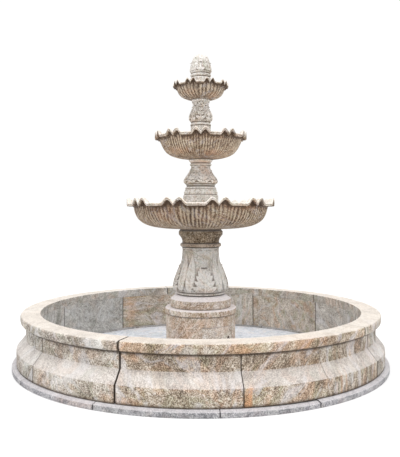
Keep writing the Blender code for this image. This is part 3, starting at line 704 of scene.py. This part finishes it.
def carvedLeaf(angles, heights, radii, leaf):
    # An acanthus leaf: pairs of leaflets that lean less and less towards the tip, a middle rib,
    # and a tip that rolls forward. Returns the relief from 0 to 1, the roll and the slot under it.
    across = np.radians((angles - leaf["angle"] + 180) % 360 - 180) * radii
    up = heights - leaf["root"]
    tall = leaf["tip"] - leaf["root"]
    field = np.zeros(np.broadcast_shapes(across.shape, up.shape))
    pairs = leaf["pairs"]
    for index in range(pairs):
        t = index / max(pairs - 1, 1)
        lean = leaf["leanLow"] + (leaf["leanHigh"] - leaf["leanLow"]) * t
        length = leaf["reach"] * (1.0 - 0.25 * t)
        for side in (-1, 1):
            lobe = leaflet(across, up, tall * 0.62 * t, side * lean, length, leaf["lobeWidth"])
            field = np.maximum(field, lobe * (1.0 - 0.1 * t))
    taper = leaf["rib"] * np.clip(1.35 - up / tall, 0.3, 1.2)
    stem = np.exp(-(across / taper) ** 2) * smoothStep(-0.03, 0.02, up / tall)
    stem = stem * smoothStep(1.04, 0.98, up / tall)
    field = np.maximum(field, 0.95 * stem)
    roll = np.exp(-(across / leaf["rollWidth"]) ** 4) * np.exp(-((up - tall) / leaf["rollHeight"]) ** 2)
    below = (up - tall + 2.0 * leaf["rollHeight"]) / (0.6 * leaf["rollHeight"])
    slot = np.exp(-(across / (0.85 * leaf["rollWidth"])) ** 4) * np.exp(-below ** 2)
    return field, roll, slot


plainLeaf = {
    "angle": 0.0, "root": 0.0, "tip": 0.2, "pairs": 4, "leanLow": 66.0, "leanHigh": 22.0, "reach": 0.105,
    "lobeWidth": 0.026, "rib": 0.008, "rollWidth": 0.036, "rollHeight": 0.010, "rollOut": 0.013,
}


def leavesAround(count, firstAngle, **changes):
    return [{**plainLeaf, **changes, "angle": firstAngle + 360.0 / count * index} for index in range(count)]


plainCarving = {
    "count": 360, "spacing": 0.0024, "folds": 8, "turn": 0.0, "reach": 6, "gain": 130.0, "raised": 0.4,
    "fade": 0.012, "grimeAndShade": (), "grimeAndShadeReach": 0.005, "drills": (), "drillDepth": 0.010,
    "drillRadius": 0.0055, "patches": {},
}


def carvedStone(name, profile, leaves, style):
    # A turned profile with leaves raised on it and smooth folds between them. Where a leaf's tip
    # rolls over, the surface goes out and down, so that the roll overhangs the slot under it.
    # Drilled holes are sunk last, and repeat every quarter turn.
    style = {**plainCarving, **style}
    foot, head = span(name)
    outer = np.array([(radius, foot + height, 1.0) for radius, height in profile])
    bore = [(outer[-1, 0], head, 0.0), (pipeHole, head, 0.0), (pipeHole, foot, 0.0), (outer[0, 0], foot, 0.0)]
    outline = evenly(cutCorners(np.vstack([outer, bore]), 2), style["spacing"])
    outline[:, 1] = np.clip(outline[:, 1], foot, head)
    angles = (np.arange(style["count"]) * 360.0 / style["count"])[:, None]
    radii = outline[None, :, 0]
    heights = outline[None, :, 1]
    shape = (style["count"], len(outline))
    field, roll, slot = np.zeros(shape), np.zeros(shape), np.zeros(shape)
    for leaf in leaves:
        leafField, leafRoll, leafSlot = carvedLeaf(angles, heights, radii, leaf)
        field = np.maximum(field, leafField)
        roll = np.maximum(roll, leafRoll * leaf["rollOut"])
        slot = np.maximum(slot, leafSlot)
    zone = outline[None, :, 2] * smoothStep(style["low"], style["low"] + style["fade"], heights)
    zone = zone * smoothStep(style["high"], style["high"] - style["fade"], heights)
    fold = np.cos(np.radians(angles - style["turn"]) * style["folds"])
    folds = 0.55 * np.sign(fold) * np.abs(fold) ** 0.6
    chisel = 0.6 * softNoise(angles / 2.0, heights / 0.010, 5)
    chisel = chisel + 0.4 * softNoise(angles / 0.9, heights / 0.005, 9)
    ground = (1.0 - smoothStep(0.0, 0.35, field)) * (style["foldDepth"] * (folds - 0.3))
    lift = style["deep"] * (field - 0.4) + ground + style["chisel"] * chisel - slot * style["deep"]
    lift = zone * np.broadcast_to(lift, shape)
    for angle, height in style["drills"]:
        across = np.radians((angles - angle + 45.0) % 90.0 - 45.0) * radii
        away = np.hypot(across, heights - foot - height)
        lift = lift - style["drillDepth"] * np.exp(-((away / style["drillRadius"]) ** 4))
    outside = outline[None, :, 2] > 0.5
    normal = outward(outline[:, :2])
    radius = radii + np.where(outside, normal[None, :, 0], 0.0) * (lift + roll * zone)
    height = heights + np.where(outside, normal[None, :, 1], 0.0) * lift - 0.75 * roll * zone
    points = polar(radius, angles, height)
    tags = evenTags(points.shape[:2], shift=style["shift"], grey=style["grey"])
    # Painted shade and highlight: hollows, drilled holes and the slot under each rolled tip are darkened, and
    # rises and raised leaves are paled
    tags["relief"] = cavity(lift, style["reach"], style["gain"]) - 0.9 * slot * zone
    tags["relief"] = np.clip(tags["relief"] + style["raised"] * zone * (field - 0.12), 0.0, 1.0)
    # Painted shade with dirt, in bands at the carved stone's steps and joints
    for grimeAndShade in style["grimeAndShade"]:
        dirtAndShade = np.exp(-((heights - foot - grimeAndShade) / style["grimeAndShadeReach"]) ** 2)
        tags["relief"] = tags["relief"] - 0.6 * dirtAndShade * outside
    for tag, patches in style["patches"].items():
        tags[tag] = patchesAt(angles, np.broadcast_to(heights, shape), patches, 6)
    return gridPiece(name, points, carvedGranite, node=name, tags=tags)


def columnStones():
    foot, head = span("pedestal_base")
    base = roundCorners([
        (pipeHole, foot, 0.002), (0.275, foot, 0.003), (0.275, foot + 0.074, 0.006),
        (0.262, foot + 0.080, 0.003), (0.2235, head, 0.003), (pipeHole, head, 0.002)])
    turnedStone("pedestal_base", supported(base, 0.02), plinthGranite, "carved_granite", shift=2.9, grey=0.2,
                dirtAndShade=((foot, 0.005), (head, 0.004)), rubbed=((foot + 0.074, head, 0.7),))

    foot = span("main_pedestal")[0]
    leaves = leavesAround(4, 9.0, root=foot + 0.034, tip=foot + 0.272, pairs=5, reach=0.125, lobeWidth=0.030,
                          rib=0.009, rollWidth=0.034, rollHeight=0.011, rollOut=0.014)
    for lean in (-34.0, 34.0):         # tall smooth side leaves
        leaves += leavesAround(4, 9.0 + lean, root=foot + 0.030, tip=foot + 0.330, pairs=1, leanLow=0.0,
                               reach=0.330, lobeWidth=0.046, rollWidth=0.001, rollOut=0.0, rib=0.003)
    carvedStone("main_pedestal", [
        (0.205, 0.0), (0.205, 0.003), (0.217, 0.006), (0.221, 0.013), (0.219, 0.021), (0.207, 0.025),
        (0.206, 0.029), (0.216, 0.032), (0.236, 0.039), (0.249, 0.054), (0.251, 0.072), (0.249, 0.095),
        (0.241, 0.127), (0.225, 0.172), (0.208, 0.218), (0.191, 0.263), (0.180, 0.309), (0.174, 0.354),
        (0.170, 0.4265)], leaves, {
            "count": 540, "spacing": 0.0030, "low": foot + 0.032, "high": foot + 0.420, "folds": 12,
            "foldDepth": 0.0040, "turn": 9.0, "deep": 0.015, "chisel": 0.0010, "shift": 3.3, "grey": 0.40,
            "gain": 75.0, "raised": 0.45, "grimeAndShade": (0.003, 0.027, 0.425),
            "patches": {"pale": ((45.0, 0.75, 19.0, 0.2, 0.7), (12.0, 0.78, 30.0, 0.12, 0.5),
                                 (20.0, 0.95, 22.0, 0.06, 0.8)),
                        "rust": ((-40.0, 0.93, 16.0, 0.07, 0.25), (15.0, 0.64, 20.0, 0.02, 0.2))}})

    foot, head = span("pedestal_capital")
    capital = roundCorners([
        (pipeHole, foot, 0.002), (0.170, foot, 0.002), (0.172, foot + 0.004, 0.002),
        (0.182, foot + 0.005, 0.004), (0.189, foot + 0.020, 0.010), (0.182, foot + 0.035, 0.004),
        (0.169, foot + 0.037, 0.003), (0.166, foot + 0.052, 0.012), (0.173, foot + 0.082, 0.018),
        (0.198, foot + 0.112, 0.006), (0.200, foot + 0.118, 0.002), (0.200, head - 0.018, 0.005),
        (0.189, head - 0.006, 0.003), (0.186, head, 0.002), (pipeHole, head, 0.002)])
    turnedStone("pedestal_capital", supported(capital, 0.012), capitalGranite, "capital_granite",
                shift=4.1, dirtAndShade=((foot, 0.005), (foot + 0.039, 0.004), (head, 0.014)),
                rubbed=((foot + 0.008, foot + 0.033, 0.8),))

    foot, head = span("middle_plinth")
    steps = roundCorners([
        (pipeHole, foot, 0.002), (0.160, foot, 0.003), (0.160, foot + 0.252, 0.004),
        (0.150, foot + 0.258, 0.003), (0.153, foot + 0.264, 0.002), (0.153, foot + 0.286, 0.004),
        (0.145, foot + 0.290, 0.002), (0.145, foot + 0.306, 0.003), (0.136, foot + 0.310, 0.002),
        (0.141, foot + 0.314, 0.003), (0.141, foot + 0.324, 0.004), (0.128, foot + 0.330, 0.002),
        (0.128, head, 0.002), (pipeHole, head, 0.002)])
    turnedStone("middle_plinth", supported(steps, 0.012), carvedGranite, "carved_granite",
                shift=5.2, grey=0.4, pale=0.3,
                dirtAndShade=((foot + 0.259, 0.005), (foot + 0.309, 0.004), (foot + 0.332, 0.005)))

    foot = span("middle_pedestal")[0]
    small = {"rib": 0.004, "lobeWidth": 0.014, "rollWidth": 0.014, "rollHeight": 0.006, "rollOut": 0.006}
    carvedStone("middle_pedestal", [
        (0.127, 0.0), (0.130, 0.002), (0.131, 0.010), (0.131, 0.014), (0.142, 0.019), (0.151, 0.032),
        (0.152, 0.047), (0.147, 0.062), (0.134, 0.080), (0.116, 0.102), (0.102, 0.126), (0.095, 0.150),
        (0.089, 0.172), (0.087, 0.180), (0.098, 0.187), (0.099, 0.196), (0.089, 0.202), (0.089, 0.210),
        (0.098, 0.216), (0.108, 0.232), (0.108, 0.2385)],
        leavesAround(4, 10.0, root=foot + 0.026, tip=foot + 0.150, pairs=4, reach=0.066, **small)
        + leavesAround(4, 55.0, root=foot + 0.026, tip=foot + 0.128, pairs=3, reach=0.052, **small), {
            "count": 420, "low": foot + 0.020, "high": foot + 0.180,
            "foldDepth": 0.0040, "turn": 10.0, "deep": 0.0100, "chisel": 0.0012, "shift": 6.0, "grey": 0.15,
            "grimeAndShade": (0.001, 0.0165, 0.181, 0.206, 0.239),
            "patches": {"rust": ((25.0, 1.70, 25.0, 0.05, 0.4), (0.0, 1.77, 60.0, 0.02, 0.5)),
                        "pale": ((0.0, 1.565, 200.0, 0.008, 0.8),)}})

    foot = span("upper_pedestal")[0]
    leaves = leavesAround(4, 0.0, root=foot + 0.304, tip=foot + 0.425, pairs=3, reach=0.056,
                          leanLow=58.0, **small)
    leaves += leavesAround(4, 45.0, root=foot + 0.300, tip=foot + 0.440, pairs=3, reach=0.034, **small)
    carvedStone("upper_pedestal", [
        (0.098, 0.0), (0.098, 0.190), (0.094, 0.205), (0.090, 0.212), (0.090, 0.250), (0.093, 0.256),
        (0.093, 0.266), (0.087, 0.270), (0.085, 0.281), (0.092, 0.287), (0.101, 0.300), (0.104, 0.314),
        (0.102, 0.340), (0.095, 0.366), (0.084, 0.388), (0.076, 0.402), (0.074, 0.420), (0.074, 0.440),
        (0.078, 0.454), (0.082, 0.466), (0.081, 0.4865)],
        leaves, {
            "low": foot + 0.290, "high": foot + 0.476,
            "foldDepth": 0.0035, "deep": 0.0090, "chisel": 0.0010, "shift": 7.1, "grey": 0.30,
            "drills": ((-23.0, 0.447), (-8.0, 0.462), (14.0, 0.462), (24.0, 0.447), (3.0, 0.436)),
            "grimeAndShade": (0.208, 0.253, 0.283, 0.487)})
    print("pedestals carved")


def leafFinial():
    foot, head = span("leaf_finial")
    leaves = leavesAround(4, 0.0, root=foot + 0.222, tip=foot + 0.303, pairs=2, reach=0.045, lobeWidth=0.014,
                          rib=0.006, rollWidth=0.019, rollHeight=0.007, rollOut=0.013)
    leaves += leavesAround(4, 45.0, root=foot + 0.222, tip=foot + 0.345, pairs=3, reach=0.030,
                           lobeWidth=0.010, rib=0.004, rollWidth=0.008, rollHeight=0.006, rollOut=0.003)
    carvedStone("leaf_finial", [
        (0.090, 0.0), (0.095, 0.050), (0.095, 0.150), (0.092, 0.158), (0.084, 0.164), (0.084, 0.172),
        (0.093, 0.178), (0.093, 0.190), (0.084, 0.196), (0.084, 0.203), (0.094, 0.208), (0.098, 0.218),
        (0.097, 0.234), (0.091, 0.258), (0.086, 0.282), (0.082, 0.305), (0.078, 0.326), (0.069, 0.347),
        (0.054, 0.364), (0.034, 0.3735), (0.016, 0.3757)], leaves, {
            "low": foot + 0.206, "high": head + 0.002, "folds": 10, "foldDepth": 0.0030, "deep": 0.0070,
            "chisel": 0.0010, "shift": 8.2, "grey": 0.4, "raised": 0.3, "grimeAndShade": (0.168, 0.200)})
    print("finial carved")


# Scalloped bowls


def scallopWave(angles, bowl):
    # Height of the lip, 0 to 1: a sharp notch, a rounded crest on each side of it, then a flat.
    # The notch side is a quarter sine from the notch to the crest, the other side eases down.
    away = np.abs(((angles - bowl["notchAngle"]) * bowl["lobes"] / 360.0 + 0.5) % 1.0 - 0.5)
    rise = np.sin(np.clip(away / bowl["crest"], 0.0, 1.0) * math.pi / 2)
    return np.where(away < bowl["crest"], rise, smoothStep(bowl["foot"], bowl["crest"], away))


def scallopedBowl(name, bowl):
    # An outline of (r, z, follow, rib, tone) carried round. Each point rises with the lip's wave
    # by its follow. Its ribs are gadroons: round ridges, with the surface sunk along its normal
    # between them by its rib share, and noise breaks and bends them. Tone is 1 on the pale lip and
    # -1 in the shade under it.
    low = span(name)[0]
    outline = np.array([(*point, 0, 0, 0)[:5] for point in bowl["outline"]], float)
    detail = np.where((outline[:, 2] > 0) | (outline[:, 3] > 0), 0.35, 0.12) + 0.65 * (outline[:, 2] > 0.4)
    outline = cutCorners(np.column_stack([outline[:, :2], detail, outline[:, 2:]]), 2)
    outline = evenly(outline, bowl["spacing"])
    outline[:, 1] += low
    follow, share, tone = outline[None, :, 3], outline[None, :, 4], outline[None, :, 5]
    lobes, ribs, seed = bowl["lobes"], bowl["ribs"], bowl["seed"]
    count = lobes * bowl["perLobe"]
    angles = (bowl["notchAngle"] + np.arange(count) * 360.0 / count)[:, None]
    turns = (angles - bowl["notchAngle"]) / 360.0
    heights = outline[None, :, 1]
    wave = scallopWave(angles, bowl) * (1.0 + 0.04 * softNoise(turns * lobes * 2, turns, seed))
    wobble = 0.22 * softNoise(turns * lobes * ribs * 0.8, heights / 0.06, seed)
    rib = np.abs(np.cos(np.pi * (turns * lobes * ribs + wobble)))
    breaks = softNoise(turns * lobes * ribs, heights / 0.022, seed + 3)
    strength = 0.80 + 0.35 * softNoise(turns * 40.0, heights / 0.09, seed + 2) + 0.45 * breaks
    strength = share * np.clip(strength, 0.1, 1.3)
    chisel = softNoise(turns * 400.0, heights / 0.012, seed + 1)
    depth = strength * bowl["ribDepth"] * (rib ** 0.7 - 1.0) + (0.4 + 0.6 * share) * 0.0008 * chisel
    normal = outward(outline[:, :2])
    radius = outline[None, :, 0] + normal[None, :, 0] * depth
    height = heights + normal[None, :, 1] * depth + follow * bowl["lift"] * wave
    points = polar(radius, angles, height)
    tags = evenTags(points.shape[:2], shift=seed * 0.71, grey=bowl["grey"])
    # Painted light and shade on the ribs, crests paled and flutes darkened, and painted shade under the lip
    # where tone is below 0
    groove = 0.60 + strength * bowl["ribTone"] * (rib ** 1.2 - 0.5) + 0.6 * np.minimum(tone, 0.0)
    tags["relief"] = np.clip(np.broadcast_to(groove, points.shape[:2]), 0.0, 1.0)
    tags["pale"] = np.broadcast_to(np.clip(tone, 0.0, 1.0), points.shape[:2])
    tags["rust"] = patchesAt(angles, np.broadcast_to(heights, points.shape[:2]), bowl["rust"], seed)
    return gridPiece(name, points, bowlGranite, node=name, tags=tags)


def bowls():
    # Outline points: radius, height over the underside, follow of the lip's wave, rib, tone. The
    # last ones are left out where they are 0.
    scallopedBowl("large_bowl", {
        "lobes": 11, "notchAngle": 12.9, "crest": 0.150, "foot": 0.31, "lift": 0.047, "perLobe": 70,
        "ribs": 10, "ribDepth": 0.0075, "ribTone": 0.85, "spacing": 0.0044, "seed": 21, "grey": 0.15,
        "rust": ((-30, 1.30, 12, 0.06, 0.4), (35, 1.36, 25, 0.02, 0.4), (-5, 1.27, 15, 0.02, 0.3)),
        "outline": [
            (pipeHole, 0.000), (0.198, 0.000), (0.215, 0.003), (0.345, 0.009, 0, 0.3),
            (0.460, 0.028, 0, 0.8), (0.535, 0.062, 0, 1), (0.576, 0.105, 0, 1),
            (0.597, 0.155, 0.06, 1), (0.604, 0.185, 0.45, 0.8, -0.3), (0.608, 0.202, 0.75, 0.3, -1),
            (0.620, 0.207, 0.9, 0, -1), (0.650, 0.205, 1, 0, -0.4), (0.665, 0.207, 1, 0, 0.5),
            (0.668, 0.212, 1, 0, 0.8), (0.662, 0.217, 1, 0, 0.1), (0.668, 0.222, 1, 0, 0.8),
            (0.666, 0.230, 1, 0, 1), (0.655, 0.234, 1, 0, 1), (0.632, 0.229, 0.95, 0, 1),
            (0.605, 0.217, 0.7, 0, 1),
            (0.580, 0.185, 0.35, 0, 1), (0.552, 0.143, 0.08, 0, 1), (0.505, 0.100, 0, 0, 1),
            (0.420, 0.066, 0, 0, 0.8), (0.300, 0.056, 0, 0, 0.6), (0.180, 0.052, 0, 0, 0.5),
            (pipeHole, 0.052, 0, 0, 0.5)]})
    scallopedBowl("middle_bowl", {
        "lobes": 10, "notchAngle": 0.0, "crest": 0.170, "foot": 0.33, "lift": 0.038, "perLobe": 64,
        "ribs": 9, "ribDepth": 0.0060, "ribTone": 0.9, "spacing": 0.0034, "seed": 31, "grey": 0.2,
        "rust": ((-40, 1.86, 22, 0.03, 0.6), (25, 1.84, 18, 0.02, 0.6), (0, 1.95, 30, 0.02, 0.2)),
        "outline": [
            (pipeHole, 0.000), (0.104, 0.000), (0.120, 0.003), (0.190, 0.011, 0, 0.3),
            (0.252, 0.026, 0, 0.8), (0.302, 0.052, 0, 1), (0.336, 0.092, 0, 1),
            (0.360, 0.142, 0.06, 1), (0.368, 0.162, 0.45, 0.8, -0.3), (0.371, 0.175, 0.75, 0.3, -1),
            (0.380, 0.179, 0.9, 0, -1), (0.400, 0.177, 1, 0, -0.4), (0.413, 0.179, 1, 0, 0.2),
            (0.416, 0.184, 1, 0, 0.5), (0.410, 0.190, 1), (0.416, 0.195, 1, 0, 0.5),
            (0.413, 0.204, 1, 0, 0.8),
            (0.405, 0.207, 1, 0, 1), (0.390, 0.201, 0.95, 0, 1), (0.372, 0.187, 0.7, 0, 1),
            (0.352, 0.152, 0.35, 0, 0.9), (0.328, 0.112, 0.08, 0, 0.7), (0.280, 0.070, 0, 0, 0.5),
            (0.200, 0.054, 0, 0, 0.4), (0.112, 0.050, 0, 0, 0.3), (pipeHole, 0.050, 0, 0, 0.3)]})
    scallopedBowl("small_bowl", {
        "lobes": 9, "notchAngle": 18.5, "crest": 0.17, "foot": 0.32, "lift": 0.032, "perLobe": 60,
        "ribs": 4, "ribDepth": 0.0060, "ribTone": 1.0, "spacing": 0.0026, "seed": 41, "grey": 0.3,
        "rust": ((-35, 2.38, 25, 0.02, 0.5), (45, 2.36, 20, 0.02, 0.5)),
        "outline": [
            (pipeHole, 0.000), (0.084, 0.000), (0.096, 0.002), (0.125, 0.007, 0, 0.3),
            (0.170, 0.024, 0, 0.9), (0.198, 0.049, 0, 1), (0.211, 0.077, 0.06, 1),
            (0.216, 0.092, 0.45, 0.8, -0.3), (0.219, 0.102, 0.75, 0.3, -1), (0.226, 0.106, 0.9, 0, -1),
            (0.241, 0.105, 1, 0, -0.8), (0.249, 0.107, 1, 0, -0.2), (0.2508, 0.112, 1, 0, 0.3),
            (0.2508, 0.119, 1, 0, 0.6), (0.247, 0.124, 1, 0, 1), (0.238, 0.123, 0.95, 0, 1),
            (0.222, 0.114, 0.75, 0, 1), (0.206, 0.092, 0.35, 0, 0.9), (0.186, 0.066, 0.08, 0, 0.7),
            (0.150, 0.042, 0, 0, 0.4), (0.104, 0.032, 0, 0, 0.3), (pipeHole, 0.032, 0, 0, 0.3)]})
    print("bowls carved")


# The pump and pipework keep their shapes and take their finishes


def plumbing():
    finishes = (
        (whitePipe, ("riser_pipe", "outlet_nipple", "valve_body")),
        (redPlastic, ("valve_lever",)),
        (blackPlastic, ("pump_body", "pump_volute", "pump_strainer", "cable_gland")),
        (castBrass, ("pump_impeller", "jet_nozzle")),
        (blackRubber, ("large_bowl_grommet", "middle_bowl_grommet", "small_bowl_grommet")),
    )
    for finish, names in finishes:
        for name in names:
            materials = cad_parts[name].data.materials
            materials.clear()
            materials.append(finish)


# The studio

studio = {
    "cameraDistance": 5.471, "cameraSide": -0.0064, "cameraHeight": 1.323, "pitchDown": 1.541, "lens": 47.42,
    "backdrop": 1.02, "skyLight": 0.90, "sunLight": 2.45, "sunSpread": 70.0, "sunTilt": (14.0, -2.0),
    "floorSize": 40.0, "floorTone": 0.78,
}


def studioSet():
    scene = bpy.context.scene
    scene.view_settings.view_transform = "Standard"
    data = bpy.data.cameras.new("camera")
    data.lens = studio["lens"]
    camera = bpy.data.objects.new("camera", data)
    camera.location = (studio["cameraSide"], -studio["cameraDistance"], studio["cameraHeight"])
    camera.rotation_euler = (math.radians(90.0 - studio["pitchDown"]), 0.0, 0.0)
    scene.collection.objects.link(camera)
    scene.camera = camera

    world = bpy.data.worlds.new("studio")
    world.use_nodes = True
    sky = world.node_tree.nodes
    seen = sky.new("ShaderNodeLightPath").outputs["Is Camera Ray"]
    strength = sky.new("ShaderNodeMapRange")           # a white backdrop over a softer light
    strength.inputs["To Min"].default_value = studio["skyLight"]
    strength.inputs["To Max"].default_value = studio["backdrop"]
    world.node_tree.links.new(seen, strength.inputs["Value"])
    sky["Background"].inputs["Color"].default_value = (1.0, 1.0, 1.0, 1.0)
    world.node_tree.links.new(strength.outputs[0], sky["Background"].inputs["Strength"])
    scene.world = world
    sunData = bpy.data.lights.new("overcast sun", "SUN")
    sunData.energy = studio["sunLight"]
    sunData.angle = math.radians(studio["sunSpread"])
    sun = bpy.data.objects.new("overcast sun", sunData)
    sun.rotation_euler = (*map(math.radians, studio["sunTilt"]), 0.0)
    scene.collection.objects.link(sun)

    half = studio["floorSize"] / 2
    mesh = bpy.data.meshes.new("studio_floor")
    corners = [(-half, -half, 0), (half, -half, 0), (half, half, 0), (-half, half, 0)]
    mesh.from_pydata(corners, [], [(0, 1, 2, 3)])
    pale = bpy.data.materials.new("studio floor")
    pale.use_nodes = True
    surface = pale.node_tree.nodes["Principled BSDF"].inputs
    surface["Base Color"].default_value = (*[studio["floorTone"]] * 3, 1.0)
    surface["Roughness"].default_value = 0.9
    mesh.materials.append(pale)
    ground = bpy.data.objects.new("studio_floor", mesh)
    scene.collection.objects.link(ground)


studioSet()
poolRing()
poolFloor()
plinthStones()
accessPanel()
columnStones()
bowls()
leafFinial()
plumbing()
